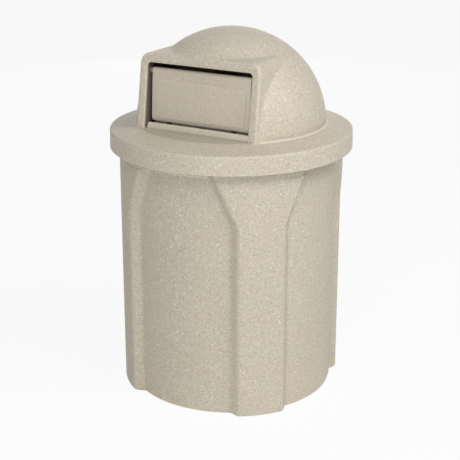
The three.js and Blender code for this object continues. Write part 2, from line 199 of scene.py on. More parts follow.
# a profile of (radius, height) turned about the Z axis
def turned(bm, profile, steps):
    verts, edges = chain(bm, [(r, 0, z) for r, z in profile])
    bmesh.ops.spin(bm, geom=verts + edges, cent=(0, 0, 0), axis=(0, 0, 1), dvec=(0, 0, 0),
                   angle=2 * pi, steps=steps, use_merge=True, use_duplicate=False)
    bmesh.ops.remove_doubles(bm, verts=bm.verts, dist=mergeGap)


# edges drawn out of a row, and the new vertex beside each of the row's own
def extrudeEdges(bm, edges, verts):
    made = bmesh.ops.extrude_edge_only(bm, edges=edges)["geom"]
    newEdges = [g for g in made if isinstance(g, bmesh.types.BMEdge)]
    ends = {v for e in newEdges for v in e.verts}
    beside = [next(e.other_vert(v) for e in v.link_edges if e.other_vert(v) in ends) for v in verts]
    return newEdges, beside


# rows of points, each row drawn out of the last
def drawnOut(bm, rows):
    verts, edges = chain(bm, rows[0])
    for row in rows[1:]:
        edges, verts = extrudeEdges(bm, edges, verts)
        for vert, place in zip(verts, row):
            vert.co = place


def extrudeFaces(bm, faces, move):
    made = bmesh.ops.extrude_face_region(bm, geom=faces)["geom"]
    verts = [g for g in made if isinstance(g, bmesh.types.BMVert)]
    bmesh.ops.translate(bm, verts=verts, vec=move)
    return verts, [g for g in made if isinstance(g, bmesh.types.BMFace)]


def roundEdges(bm, edges, offset, segments):
    bmesh.ops.bevel(bm, geom=edges, offset=offset, offset_type="OFFSET", segments=segments,
                    profile=0.5, affect="EDGES", material=-1, clamp_overlap=True)


def meshFrom(bm, name):
    mesh = bpy.data.meshes.new(name)
    bm.to_mesh(mesh)
    bm.free()
    return mesh


def addObject(name, data):
    made = bpy.data.objects.new(name, data)
    bpy.context.scene.collection.objects.link(made)
    return made


def makePiece(name, bm, body, nodes, material, crease, recalculate=True):
    if recalculate:
        bmesh.ops.recalc_face_normals(bm, faces=bm.faces)
    mesh = meshFrom(bm, name)
    for polygon in mesh.polygons:
        polygon.use_smooth = True
    mesh.set_sharp_from_angle(angle=radians(crease))
    mesh.materials.append(material)
    piece = addObject(name, mesh)
    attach(piece, body)
    if nodes:
        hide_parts(*nodes)
    return piece


def giveWall(piece, thickness):
    wall = piece.modifiers.new("wall", "SOLIDIFY")
    wall.thickness = thickness
    wall.offset = -1
    wall.use_quality_normals = True


# the moulded plastic of the can, the lid and the flap, with its mixed flecks
sandstone = {
    "can": {"base": (0.575, 0.511, 0.410), "fleck": 1.0, "pebble": 0.00035, "gloss": 0.58},
    "lid": {"base": (0.588, 0.520, 0.418), "fleck": 1.0, "pebble": 0.00030, "gloss": 0.52},
    "flap": {"base": (0.578, 0.510, 0.412), "fleck": 0.55, "pebble": 0.00012, "gloss": 0.50},
    # of each noise: its size, detail and roughness
    "grain": (0.0016, 3, 0.6),
    "mottle": (0.007, 2, 0.55),
    "cloud": (0.16, 2, 0.5),
    "pebbles": (0.0034, 2, 0.5),
    "skin": (0.022, 2, 0.5),
    "grainTone": 0.5,            # how far each of them lightens and darkens the base
    "mottleTone": 0.34,
    "cloudTone": 0.10,
    # of each fleck: its colour, size, shift, where it starts and is full, and its strength
    "flecks": [
        ((0.80, 0.755, 0.655), 0.0046, 4.53, (0.59, 0.67), 0.60),
        ((0.30, 0.25, 0.19), 0.0040, 4.10, (0.61, 0.68), 0.55),
        ((0.62, 0.46, 0.36), 0.0068, 4.38, (0.56, 0.66), 0.42),
        ((0.47, 0.52, 0.42), 0.0074, 4.44, (0.56, 0.66), 0.38),
    ],
    # colour of the painted highlights on edges and along the dome's foot
    "paintedHighlight": (0.74, 0.68, 0.57),
    # colour of the painted shade in hollows, on the shelf and in the cove
    "dustAndShade": (0.24, 0.21, 0.165),
    # colour of the painted shade in the hood's throat
    "throatShade": (0.17, 0.15, 0.122),
    "edges": (0.512, 0.560),     # pointiness of the edges that get a painted highlight
    "edgeHighlight": 0.55,
    "hollows": (0.492, 0.45),    # pointiness of the hollows that get a painted shade
    "hollowShade": 0.34,
    "mottleGloss": 0.18,
    # extra roughness where the throat's shade is painted
    "throatShadeGloss": 0.2,
    "grainBump": 0.6,
    "skinDepth": 3.0,            # in pebble depths
}


def sandstonePlastic(name, kind, paintedLight=None):
    finish = newMaterial(name)
    look, own = sandstone, sandstone[kind]
    grain, mottle, cloud = (finish.noise(*look[key]) for key in ("grain", "mottle", "cloud"))
    lean = ((grain - 0.5) * (look["grainTone"] * own["fleck"])
            + (mottle - 0.5) * (look["mottleTone"] * own["fleck"])
            + (cloud - 0.5) * look["cloudTone"] + 1.0)
    grey = finish.node("ShaderNodeCombineColor", None, {"Red": lean, "Green": lean, "Blue": lean})
    colour = finish.mixColour(1.0, own["base"], grey, "MULTIPLY")
    for fleckTone, size, shift, edge, strength in look["flecks"]:
        spots = finish.noise(size, 1, place=finish.mapped(Location=(shift, -shift, 2 * shift)))
        colour = finish.mixColour(finish.step(spots, *edge) * (strength * own["fleck"]), colour, fleckTone)
    pointed = finish.node("ShaderNodeNewGeometry", output="Pointiness")
    # painted highlight along convex edges, by pointiness
    colour = finish.mixColour(finish.step(pointed, *look["edges"]) * look["edgeHighlight"], colour, look["paintedHighlight"])
    # painted shade in hollows, by pointiness
    colour = finish.mixColour(finish.step(pointed, *look["hollows"]) * look["hollowShade"],
                              colour, look["dustAndShade"])
    rough = (mottle - 0.5) * look["mottleGloss"] + own["gloss"]
    # the lid's painted shade and painted highlights, from its masks
    if paintedLight is not None:
        dustyAndShaded, paintedHighlight, throatShaded = paintedLight(finish)
        for part, layer in ((dustyAndShaded, "dustAndShade"), (paintedHighlight, "paintedHighlight"), (throatShaded, "throatShade")):
            colour = finish.mixColour(part, colour, look[layer])
        # rougher where the throat's shade is painted
        rough = rough + throatShaded * look["throatShadeGloss"]
    fine = finish.bump(grain * look["grainBump"] + finish.noise(*look["pebbles"]), own["pebble"])
    skin = finish.bump(finish.noise(*look["skin"]), own["pebble"] * look["skinDepth"], fine)
    return finish.surface(colour, rough, skin)


# where painted shade and painted highlights fall on the lid: each pair is where a trace starts and where it
# is full
lidPaintedLightPlaces = {
    "shelf": 0.71664,            # the level foot of the dome, above the floor
    "domeRadius": 0.2477,
    "shelfShade": 0.42,           # painted shade on the level crescent before the hood
    "shelfEdge": (0.0012, 0.0),
    "shelfAbove": (0.0006, 0.0003),
    "shelfBelow": (-0.0020, -0.0008),
    "coveShade": 0.22,            # and painted shade in the cove round the dome's foot
    "coveTop": (0.017, 0.004),
    "coveFoot": (0.0018, 0.0034),
    "coveFront": (-0.172, -0.160),
    # a painted highlight along the dome's foot
    "footHighlight": 0.75,
    "footTop": (0.0036, 0.0022),
    "footInside": (0.0004, 0.0018),
    "footOutside": (0.0060, 0.0046),
    "footFront": (-0.178, -0.172),
    # painted shade in the hood's throat
    "throatSide": (0.1524, 0.1520),
    "throatTop": (0.8836, 0.8832),
    "throatBack": (-0.090, -0.100),
    "throatFront": (0.003, 0.010),    # behind the hood's face
    "face": 0.187,
    "tilt": radians(8.2),
}


# masks of painted shade on the shelf, in the cove and in the throat, and of a painted highlight along the
# dome's foot
def lidPaintedLight(finish):
    def trace(value, key):
        return finish.step(value, *lidPaintedLightPlaces[key])

    x, y, z = (finish.node("ShaderNodeSeparateXYZ", None, {"Vector": finish.place}, axis) for axis in "XYZ")
    out = (x * x + y * y) ** 0.5 - lidPaintedLightPlaces["domeRadius"]
    up = z - lidPaintedLightPlaces["shelf"]
    behindFace = y + lidPaintedLightPlaces["face"] - up * tan(lidPaintedLightPlaces["tilt"])
    onShelf = trace(out, "shelfEdge") * trace(up, "shelfAbove") * trace(up, "shelfBelow")
    onCove = trace(up, "coveTop") * trace(up, "coveFoot") * trace(y, "coveFront")
    onFoot = trace(up, "footTop") * trace(out, "footInside") * trace(out, "footOutside")
    # painted shade in the throat, behind the hood's face
    inThroat = (trace(abs(x), "throatSide") * trace(z, "throatTop")
                * trace(y, "throatBack") * trace(behindFace, "throatFront"))
    # painted shade on the shelf and in the cove
    dustyAndShaded = onShelf * lidPaintedLightPlaces["shelfShade"] + onCove * lidPaintedLightPlaces["coveShade"]
    # painted highlight along the dome's foot
    paintedHighlight = onFoot * trace(y, "footFront") * lidPaintedLightPlaces["footHighlight"]
    return dustyAndShaded, paintedHighlight, inThroat


canPlastic = sandstonePlastic("pebbled_sandstone_can", "can")
lidPlastic = sandstonePlastic("pebbled_sandstone_lid", "lid", lidPaintedLight)
sillPlastic = sandstonePlastic("pebbled_sandstone_sill", "lid")
flapPlastic = sandstonePlastic("satin_sandstone_flap", "flap")

linerLook = {
    "clean": (0.035, 0.037, 0.04),
    "scuffed": (0.085, 0.087, 0.09),
    "scuffs": (0.03, 4, 0.65),   # size, detail and roughness
    "scuffEdge": (0.55, 0.8),
    "scuffStrength": 0.4,
    "grain": (0.0012, 2),
    "grainDepth": 0.00015,
    "roughness": (0.42, 0.25),   # least, and how much the scuffs add
}


def linerFinish():
    finish, look = newMaterial("dark_liner_plastic"), linerLook
    scuff = finish.noise(*look["scuffs"])
    scuffed = finish.step(scuff, *look["scuffEdge"]) * look["scuffStrength"]
    least, more = look["roughness"]
    return finish.surface(finish.mixColour(scuffed, look["clean"], look["scuffed"]), scuff * more + least,
                          finish.bump(finish.noise(*look["grain"]), look["grainDepth"]))


steelLook = {
    "dark": (0.46, 0.47, 0.48),
    "bright": (0.62, 0.63, 0.64),
    "stretch": (12, 900, 900),   # drawn lines run along X
    "depth": 0.00004,
    "roughness": (0.22, 0.22),
}


def steelFinish():
    finish, look = newMaterial("drawn_steel"), steelLook
    lines = finish.noise(1.0, 3, place=finish.mapped(Scale=look["stretch"]))
    least, more = look["roughness"]
    return finish.surface(finish.mixColour(lines, look["dark"], look["bright"]), lines * more + least,
                          finish.bump(lines, look["depth"]), 1.0)


# nylon toned darker than its own pale colour: painted shade for the opening's shaded corner
nylonLook = {
    "dark": (0.15, 0.135, 0.11),
    "pale": (0.30, 0.275, 0.23),
    "clouds": (0.004, 2),
    "depth": 0.00004,
    "roughness": (0.35, 0.15),
}


def nylonFinish():
    finish, look = newMaterial("nylon_with_painted_shade"), nylonLook
    cloudy = finish.noise(*look["clouds"])
    least, more = look["roughness"]
    return finish.surface(finish.mixColour(cloudy, look["dark"], look["pale"]), cloudy * more + least,
                          finish.bump(cloudy, look["depth"]))


rubberLook = {
    "clean": (0.018, 0.018, 0.02),
    "dustyAndShaded": (0.07, 0.066, 0.06),
    # where real dust lies on the rubber
    "dustAndShade": (0.003, 3, 0.6),
    "dustEdge": (0.5, 0.8),
    "dustStrength": 0.5,
    "depth": 0.00008,
    "roughness": (0.72, 0.2),
}


def rubberFinish():
    finish, look = newMaterial("moulded_rubber"), rubberLook
    dustAndShade = finish.noise(*look["dustAndShade"])
    dustyAndShaded = finish.step(dustAndShade, *look["dustEdge"]) * look["dustStrength"]
    least, more = look["roughness"]
    return finish.surface(finish.mixColour(dustyAndShaded, look["clean"], look["dustyAndShaded"]), dustAndShade * more + least,
                          finish.bump(dustAndShade, look["depth"]))


print("finishes made")


# can: a turned wall whose four columns are pressed out of it
can = {
    "panelRadius": 0.271,
    "columnRise": 0.0228,
    "columnHalf": 0.0579,        # half the outer face, along its arc
    "flankRun": 0.015,
    "flareStart": 0.512,
    "flareRate": 0.43,
    "flareSoftness": 0.012,
    "flankSoftness": 0.46,       # share of a flank that its rounds take
    "collarSoftness": 0.22,      # how softly the columns run into the collar
    "shoulder": 0.644,
    "fold": 0.010,               # reach of the soft folds at the two ends of the shoulder
    "foldSteps": 6,
    "rim": 0.7016,
    "rimSlope": radians(11.8),
    "rimRound": 0.004,
    "rimTurn": 78,
    "rimSteps": 4,
    "rimKeep": 0.012,            # the columns shape nothing within this of the rim
    "mouthRadius": 0.265,
    "mouthEdge": 0.012,
    "wall": 0.006,
    "baseRound": 0.006,
    "baseSteps": 5,
    "recessRadius": 0.195,
    "recessDepth": 0.008,
    # the base's step, as (radius past the recess, height)
    "recessStep": [(-0.012, 0.008), (-0.008, 0.007), (-0.002, 0.001), (0.002, 0)],
    "pressStart": 0.03,          # how far past the recess the columns begin in the base
    "pressRun": 0.03,
    "lowRings": (0.03, 0.46, 12),
    "highRings": (0.472, 0.636, 15),
    "columns": 4,
    "stepsPerHalf": 26,          # round the can, for each half of a column and its panel
    "faceShare": 0.22,           # share of those steps on the column's face
    "flankShare": 0.50,          # and on its flank
    "flankMargin": 0.009,        # how far the flank's steps reach past its two ends
    "crease": 50,
}


def columnHalfAt(height):
    flare = smoothMax(height - can["flareStart"], 0, can["flareSoftness"])
    return can["columnHalf"] + flare * can["flareRate"]


# points of the rounded fold between an upright and a 45 degree wall, or back
def softFold(radius, height, outwards):
    corner = Vector((radius, height))
    upright = Vector((0, can["fold"]))
    leaning = Vector((sqrt(0.5), sqrt(0.5))) * can["fold"]
    before, after = (upright, leaning) if outwards else (leaning, upright)
    points = []
    for t in spread(0, 1, can["foldSteps"]):
        p = (corner - before).lerp(corner, t).lerp(corner.lerp(corner + after, t), t)
        points.append((p.x, p.y))
    return points


def canProfile():
    panel, column = can["panelRadius"], can["panelRadius"] + can["columnRise"]
    base, rim, slope = can["baseRound"], can["rim"], tan(can["rimSlope"])
    recess, edge, mouth = can["recessRadius"], can["rimRound"], can["mouthRadius"]
    profile = [(0, can["recessDepth"]), (recess * 0.5, can["recessDepth"])]
    profile += [(recess + r, z) for r, z in can["recessStep"]] + [(panel - 2 * base, 0)]
    profile += arc(panel - base, base, base, -90, 0, can["baseSteps"])
    profile += [(panel, z) for z in spread(*can["lowRings"]) + spread(*can["highRings"])]
    profile += softFold(panel, can["shoulder"], True)
    profile += softFold(column, can["shoulder"] + can["columnRise"], False)
    profile += [(column, rim - 2 * edge)]
    profile += arc(column - edge, rim - edge + edge * slope, edge, 0, can["rimTurn"], can["rimSteps"])
    profile += [(r, rim + (column - r) * slope) for r in (mouth + can["mouthEdge"], mouth)]
    return profile


# where a vertex of the turned wall goes: round the can, and out on to its column
def pressOut(place):
    radius = hypot(place.x, place.y)
    if radius < mergeGap:
        return place.copy()
    half = pi / can["columns"]
    turn = atan2(place.y, place.x)
    sector = int(turn // half)
    side = 1 if sector % 2 else -1            # an odd sector starts at a column, an even one ends there
    middle = (sector + (side < 0)) * half
    away = side * (turn - middle) / half      # 0 at a column's middle, 1 at a panel's
    face, full = columnHalfAt(place.z), half * can["panelRadius"]
    inner, outer = face - can["flankMargin"], face + can["flankRun"] + can["flankMargin"]
    first = can["faceShare"]
    second = first + can["flankShare"]
    if away < first:
        along = inner * away / first
    elif away < second:
        along = inner + (outer - inner) * (away - first) / (second - first)
    else:
        along = outer + (full - outer) * (away - second) / (1 - second)
    turn = middle + side * along / full * half
    flank = (face + can["flankRun"] - along) / can["flankRun"]
    soft = can["flankSoftness"]
    lift = between(smoothMin(smoothMax(flank, 0, soft), 1, soft), 0, 1)
    panel, rise = can["panelRadius"], can["columnRise"]
    inBase = (radius - can["recessRadius"] - can["pressStart"]) / can["pressRun"]
    if inBase > 0 and place.z < can["rim"] - can["rimKeep"]:
        if radius <= panel:
            radius += rise * lift * min(inBase, 1)
        else:
            collar = between((radius - panel) / rise, 0, 1)
            radius = panel + rise * min(smoothMax(lift, collar, can["collarSoftness"]), 1)
    return Vector((radius * cos(turn), radius * sin(turn), place.z))


def makeCan():
    bm = bmesh.new()
    turned(bm, canProfile(), 2 * can["columns"] * can["stepsPerHalf"])
    for vert in bm.verts:
        vert.co = pressOut(vert.co)
    piece = makePiece("can_moulding", bm, "can", ["outer_body"], canPlastic, can["crease"])
    giveWall(piece, can["wall"])


makeCan()
print("can made")


# lid: ring and skirt, then the dome with its hood, then the sill
lid = {
    "edgeHeight": 0.702057,      # outer edge of the ring above the floor
    "radius": 0.3175,
    "wall": 0.005,
    "skirt": 0.0477,
    "draft": 0.0006,
    "skirtRows": (0.25, 0.5, 0.75, 0.96),
    "skirtLip": 0.0006,
    "edgeRound": 0.005,
    "slope": radians(11.8),
    "domeRadius": 0.2477,
    "centreDrop": 0.0036,        # sphere's centre below the foot of the dome
    "plateRadius": 0.242,
    "plateMiddle": 0.12,
    "plateBack": -0.143,         # the floor behind the opening ends here
    "fold": 0.0015,              # half the fold where the level shelf meets the sloping ring
    "ringStart": 0.010,
    "ringEnd": 0.002,
    "ringRows": 6,
    "edgeSteps": 6,
    "steps": 208,
    "crease": 40,
}

shelf = lid["edgeHeight"] + (lid["radius"] - lid["domeRadius"]) * tan(lid["slope"])
sphereHeight = shelf - lid["centreDrop"]


def ringHeight(radius):
    return min(lid["edgeHeight"] + (lid["radius"] - radius) * tan(lid["slope"]), shelf)


def makeRing():
    bm = bmesh.new()
    outer, edge, slope = lid["radius"], lid["edgeRound"], lid["slope"]
    inner, fold, draft, lip = lid["domeRadius"], lid["fold"], lid["draft"], lid["skirtLip"]
    low = lid["edgeHeight"] - lid["skirt"]
    corner = ringHeight(outer - edge) - edge / cos(slope)
    profile = [(r, shelf) for r in (0, lid["plateMiddle"], lid["plateRadius"], inner - fold)]
    rows = spread(inner + lid["ringStart"], outer - edge - lid["ringEnd"], lid["ringRows"])
    profile += [(r, ringHeight(r)) for r in [inner + fold] + rows]
    profile += arc(outer - edge, corner, edge, 90 - degrees(slope), 0, lid["edgeSteps"])
    profile += [(outer + draft * t, corner + (low - corner) * t) for t in lid["skirtRows"]]
    profile += [(outer + draft, low + lip), (outer + draft - lip, low)]
    turned(bm, profile, lid["steps"])
    # open the plate behind the throat
    plate = [f for f in bm.faces if f.calc_center_median().xy.length < lid["plateRadius"]]
    parts = {g for f in plate for g in (*f.verts, *f.edges, f)}
    bmesh.ops.bisect_plane(bm, geom=list(parts), dist=mergeGap, plane_co=(0, lid["plateBack"], 0),
                           plane_no=(0, 1, 0))
    behind = [f for f in bm.faces if f.calc_center_median().xy.length < lid["plateRadius"]
              and f.calc_center_median().y > lid["plateBack"]]
    bmesh.ops.delete(bm, geom=behind, context="FACES")
    bmesh.ops.recalc_face_normals(bm, faces=bm.faces)
    return bm


hood = {
    "faceDepth": 0.187,          # centre line to the face, at the ring
    "tilt": radians(8.2),
    "halfWidth": 0.1755,
    "draft": 0.003,
    "roof": 0.1894,
    "corner": 0.026,
    "edge": 0.0065,
    "edgeSteps": 6,
    "roofBlend": 0.017,          # how softly the roof and the sides run into the dome
    "sideBlend": 0.005,
    "blendTurn": 6,              # how late round the arch the roof's blend takes over
    "blendPast": 0.012,          # the wall's rows end this far behind its meeting with the dome
    "widestMeeting": 0.9995,     # in dome radii, for the corners that stand outside the dome
    "openingHalf": 0.1512,
    "openingTop": 0.166,
    "openingCorner": 0.010,
    "openingEdge": 0.0028,
    "openingSteps": 4,
    "throat": 0.044,
    "throatRows": (1.0, 0.6, 0.3),    # shares of the throat's depth
    "domeFoot": 0.005,
    "hoodFoot": 0.0022,
    "footBlend": 0.004,
    "footFront": -0.170,         # before this, and this near the middle, the foot is the hood's
    "footSide": 0.176,
    "footTurns": (22, 45, 68, 90),
    "footTuck": (0.002, 0.0018), # out and down, so that the foot ends inside the ring
    "sideSteps": 16,
    "cornerSteps": 9,
    "roofSteps": 11,
    "wallRows": 10,
    "domeRows": 34,
    "poleTurn": pi * 0.9985,     # just short of the sphere's pole, which the level cut takes off
}


# an arch as (x, height above the shelf), from the right foot over the top to the left foot
def arch(half, topHalf, top, corner):
    foot = -lid["centreDrop"]
    lean = (half - topHalf) / (top - foot)
    rise = [(half - lean * (z - foot), z) for z in spread(foot, top - corner, hood["sideSteps"])]
    bend = arc(topHalf - corner, top - corner, corner, 0, 90, hood["cornerSteps"])[1:]
    flat = [(x, top) for x in spread(topHalf - corner, 0, hood["roofSteps"])][1:]
    right = rise + bend + flat
    return right + [(-x, z) for x, z in reversed(right[:-1])]


def hoodArch(shrink):
    half = hood["halfWidth"] - shrink
    return arch(half, half - hood["draft"], hood["roof"] - shrink, hood["corner"] - shrink)


def openingArch(grow):
    half = hood["openingHalf"] + grow
    return arch(half, half, hood["openingTop"] + grow, hood["openingCorner"] + grow)


def faceY(z):
    return -hood["faceDepth"] + z * tan(hood["tilt"])


# the hood's wall at a point of its arch, pushed out where it runs into the dome
def onHood(x, z, y):
    up = z + lid["centreDrop"]
    wallRadius = hypot(x, up)
    domeHere = sqrt(max(lid["domeRadius"] ** 2 - y * y, 0))
    share = (up / wallRadius) ** hood["blendTurn"]
    along = hood["sideBlend"] + (hood["roofBlend"] - hood["sideBlend"]) * share
    steepness = sqrt(max(lid["domeRadius"] ** 2 - wallRadius ** 2, 1e-8)) / wallRadius
    out = smoothMax(wallRadius, domeHere, along * steepness) if y < 0 else domeHere
    return Vector((x / wallRadius * out, y, sphereHeight + up / wallRadius * out))


def makeHood():
    bm = bmesh.new()
    backs = [hood["throat"] * share for share in hood["throatRows"]] + [hood["openingEdge"] * 2]
    rows = [[(x, faceY(z) + back, shelf + z) for x, z in openingArch(0)] for back in backs]
    edge = hood["openingEdge"]
    for turn in spread(0, pi / 2, hood["openingSteps"]):
        grown = openingArch(edge * (1 - cos(turn)))
        rows.append([(x, faceY(z) + edge * (1 - sin(turn)), shelf + z) for x, z in grown])
    outline, edge = hoodArch(0), hood["edge"]
    for turn in spread(pi / 2, 0, hood["edgeSteps"]):
        shrunk = hoodArch(edge * (1 - cos(turn)))
        rows.append([onHood(x, z, faceY(z) + edge * (1 - sin(turn))) + Vector((sx - x, 0, sz - z))
                     for (x, z), (sx, sz) in zip(outline, shrunk)])
    # back along the wall to the dome, then over the dome
    radius = lid["domeRadius"]
    starts = [faceY(z) + edge for x, z in outline]
    ends = []
    for (x, z), start in zip(outline, starts):
        wallRadius = min(hypot(x, z + lid["centreDrop"]), radius * hood["widestMeeting"])
        meet = -sqrt(radius ** 2 - wallRadius ** 2)
        ends.append(max(meet, start) + hood["blendPast"])
    for t in spread(0, 1, hood["wallRows"])[1:]:
        rows.append([onHood(x, z, start + (end - start) * t)
                     for (x, z), start, end in zip(outline, starts, ends)])
    firsts = [acos(-end / radius) for end in ends]
    for t in spread(0, 1, hood["domeRows"])[1:]:
        rows.append([onHood(x, z, -radius * cos(first + (hood["poleTurn"] - first) * t))
                     for (x, z), first in zip(outline, firsts)])
    drawnOut(bm, rows)
    bmesh.ops.recalc_face_normals(bm, faces=bm.faces)
    # cut level above the ring, then flare the foot down on to it
    cut = shelf + hood["domeFoot"]
    bmesh.ops.bisect_plane(bm, geom=[*bm.verts, *bm.edges, *bm.faces], dist=mergeGap,
                           plane_co=(0, 0, cut), plane_no=(0, 0, 1), clear_inner=True)
    level = {v for v in bm.verts if abs(v.co.z - cut) < 10 * mergeGap}
    flareOut(bm, [e for e in bm.edges if e.is_boundary and level.issuperset(e.verts)])
    return bm


# a cove from a level edge outwards on to the ring, deeper under the dome than under the hood
def flareOut(bm, edges):
    bm.normal_update()
    verts = list({v for e in edges for v in e.verts})
    roots = []
    for vert in verts:
        fromDome = abs(vert.co.xy.length - lid["domeRadius"])
        onDome = between(1 - fromDome / hood["footBlend"], 0, 1)
        if vert.co.y < hood["footFront"] and abs(vert.co.x) < hood["footSide"]:
            onDome = 0
        size = hood["hoodFoot"] + (hood["domeFoot"] - hood["hoodFoot"]) * onDome
        roots.append((vert.co.xy, vert.normal.xy.normalized(), size))
    tuckOut, tuckDown = hood["footTuck"]
    steps = [(radians(turn), 0, 0) for turn in hood["footTurns"]] + [(pi / 2, tuckOut, tuckDown)]
    for turn, further, lower in steps:
        edges, verts = extrudeEdges(bm, edges, verts)
        for vert, (start, outwards, size) in zip(verts, roots):
            flat = start + outwards * (size * (1 - cos(turn)) + further)
            vert.co = (*flat, ringHeight(flat.length) + size * (1 - sin(turn)) - lower)


sill = {
    "front": -0.180,
    "height": 0.0148,
    "base": 0.014,
    "top": 0.009,
    "left": -0.148,
    "right": 0.1518,             # runs into the wall of the opening
    "endSlope": 0.006,
    "edge": 0.0022,
    "edgeSteps": 4,
    "sunk": 0.002,
}


# a level bar drawn across the opening's foot
def makeSill():
    bm = bmesh.new()
    low, high, front = shelf - sill["sunk"], shelf + sill["height"], sill["front"]
    section = [(front, low), (front + sill["base"], low), (front + sill["top"], high), (front, high)]
    face = bm.faces.new([bm.verts.new((sill["left"], y, z)) for y, z in section])
    extrudeFaces(bm, [face], (sill["right"] - sill["left"], 0, 0))
    for vert in bm.verts:
        if vert.co.z > shelf and vert.co.x < 0:
            vert.co.x += sill["endSlope"]
    upper = [e for e in bm.edges if any(v.co.z > shelf for v in e.verts)]
    roundEdges(bm, upper, sill["edge"], sill["edgeSteps"])
    return bm


def joinInto(target, source):
    passing = meshFrom(source, "passing")
    target.from_mesh(passing)
    bpy.data.meshes.remove(passing)


def makeLid():
    shell = makeRing()
    joinInto(shell, makeHood())
    piece = makePiece("lid_moulding", shell, "lid", ["dome_lid"], lidPlastic,
                      lid["crease"], recalculate=False)
    giveWall(piece, lid["wall"])
    makePiece("lid_sill", makeSill(), "lid", [], sillPlastic, lid["crease"])


makeLid()
print("lid made")


# flap, hung from its rod
flap = {
    "rodY": -0.1473,
    "rodZ": lid["edgeHeight"] + 0.158382,
    "tilt": radians(3.7),
    "half": 0.1408,
    "barrel": 0.009,
    "barrelSteps": (12, 8),      # in front and behind
    "drop": 0.1270,
    "spreadRight": 0.0035,       # its right end reaches over the spacer on the rod
    "endBand": 0.004,
    "thickness": 0.022,
    "chamferHeight": 0.009,
    "chamferDepth": 0.004,
    "lipDrop": 0.011,
    "lipThickness": 0.006,
    "lipTaper": 0.001,
    "edge": 0.0016,
    "edgeSteps": 3,
    "sharpFrom": radians(32),
    "crease": 30,
    "fieldRise": 0.0030,
    "fieldSunk": 0.004,
    "fieldInset": 0.013,
    "fieldDrop": 0.018,
    "fieldRound": 0.010,
    "fieldRoundSteps": 8,
    "fieldEdge": 0.0024,
    "fieldEdgeSteps": 4,
    "pockets": 3,
    "pocketMargin": 0.010,
    "pocketTaper": 0.002,
    "pocketDepth": 0.007,
    "pocketPanel": 0.004,        # area from which a face of the back is one of the pocketed three
}


def flapFront(drop):
    return flap["rodY"] - flap["barrel"] / cos(flap["tilt"]) - drop * tan(flap["tilt"])


# the flap's section as (y, z), round from the top of the barrel down its face and up its back
def flapSection():
    y, z, barrel, drop = flap["rodY"], flap["rodZ"], flap["barrel"], flap["drop"]
    chamfer, foot, taper = flap["chamferHeight"], drop + flap["lipDrop"], flap["lipTaper"]
    thick, lip = flap["thickness"] / cos(flap["tilt"]), flap["lipThickness"] / cos(flap["tilt"])
    before, behind = flap["barrelSteps"]
    section = arc(y, z, barrel, 90, 180 + degrees(flap["tilt"]), before)
    section += [(flapFront(drop - chamfer), z - drop + chamfer),
                (flapFront(drop) + flap["chamferDepth"], z - drop),
                (flapFront(drop) + thick - lip, z - drop),
                (flapFront(foot) + thick - lip + taper, z - foot),
                (flapFront(foot) + thick - taper, z - foot),
                (flapFront(drop) + thick, z - drop),
                (flapFront(barrel) + thick, z - barrel)]
    return section + arc(y, z, barrel, 0, 90, behind)[:-1]


def makeFlap():
    bm = bmesh.new()
    front = [bm.faces.new([bm.verts.new((-flap["half"], y, z)) for y, z in flapSection()])]
    # drawn across in equal lengths, one for each pocket in the back
    for i in range(flap["pockets"]):
        last = front
        front = extrudeFaces(bm, last, (2 * flap["half"] / flap["pockets"], 0, 0))[1]
        if i:
            bmesh.ops.delete(bm, geom=last, context="FACES_ONLY")
    bmesh.ops.recalc_face_normals(bm, faces=bm.faces)
    backs = [f for f in bm.faces if f.normal.y > 0.9 and f.calc_area() > flap["pocketPanel"]]
    for margin, depth in ((flap["pocketMargin"], 0), (flap["pocketTaper"], -flap["pocketDepth"])):
        bmesh.ops.inset_individual(bm, faces=backs, thickness=margin, depth=depth)
    sharp = [e for e in bm.edges if len(e.link_faces) == 2 and e.calc_face_angle(0) > flap["sharpFrom"]]
    roundEdges(bm, sharp, flap["edge"], flap["edgeSteps"])
    for vert in bm.verts:
        if vert.co.x > flap["half"] - flap["endBand"]:
            vert.co.x += flap["spreadRight"]
    makePiece("flap_moulding", bm, "flap", ["push_door"], flapPlastic, flap["crease"])


# the raised field of the flap's face
def makeFlapField():
    bm = bmesh.new()
    aside = flap["spreadRight"] / 2
    half = flap["half"] + aside - flap["fieldInset"]
    outline = roundedBox(-half, half, flap["chamferHeight"] - flap["drop"], -flap["fieldDrop"],
                         flap["fieldRound"], flap["fieldRoundSteps"])
    low = bm.faces.new([bm.verts.new((x, flap["fieldSunk"], z)) for x, z in outline])
    raised = set(extrudeFaces(bm, [low], (0, -flap["fieldSunk"] - flap["fieldRise"], 0))[0])
    rim = [e for e in bm.edges if raised.issuperset(e.verts)]
    roundEdges(bm, rim, flap["fieldEdge"], flap["fieldEdgeSteps"])
    for vert in bm.verts:
        vert.co += Vector((aside, flapFront(-vert.co.z), flap["rodZ"]))
    makePiece("flap_field", bm, "flap", [], flapPlastic, flap["crease"])


makeFlap()
makeFlapField()
print("flap made")


# liner: a turned tub with a rolled rim and two hand slots
liner = {
    "floor": 0.0143,
    "height": 0.652,
    "wall": 0.003,
    "topRadius": 0.254,
    "taper": 0.018,
    "wallRows": 10,
    "baseRound": 0.014,
    "baseSteps": 6,
    "rimWidth": 0.008,
    "rimDrop": 0.016,
    "rimRound": 0.004,
    "rimSteps": 4,
    "rimDepth": 0.005,           # top of the rim to its underside
    "lipRound": 0.003,
    "lipSteps": 3,
    "slotWidth": 0.110,
    "slotHeight": 0.030,
    "slotDrop": 0.042,           # rim to the middle of a hand slot
    "slotSteps": 12,
    "cutterHalf": 0.4,
    "steps": 120,
    "crease": 40,
}


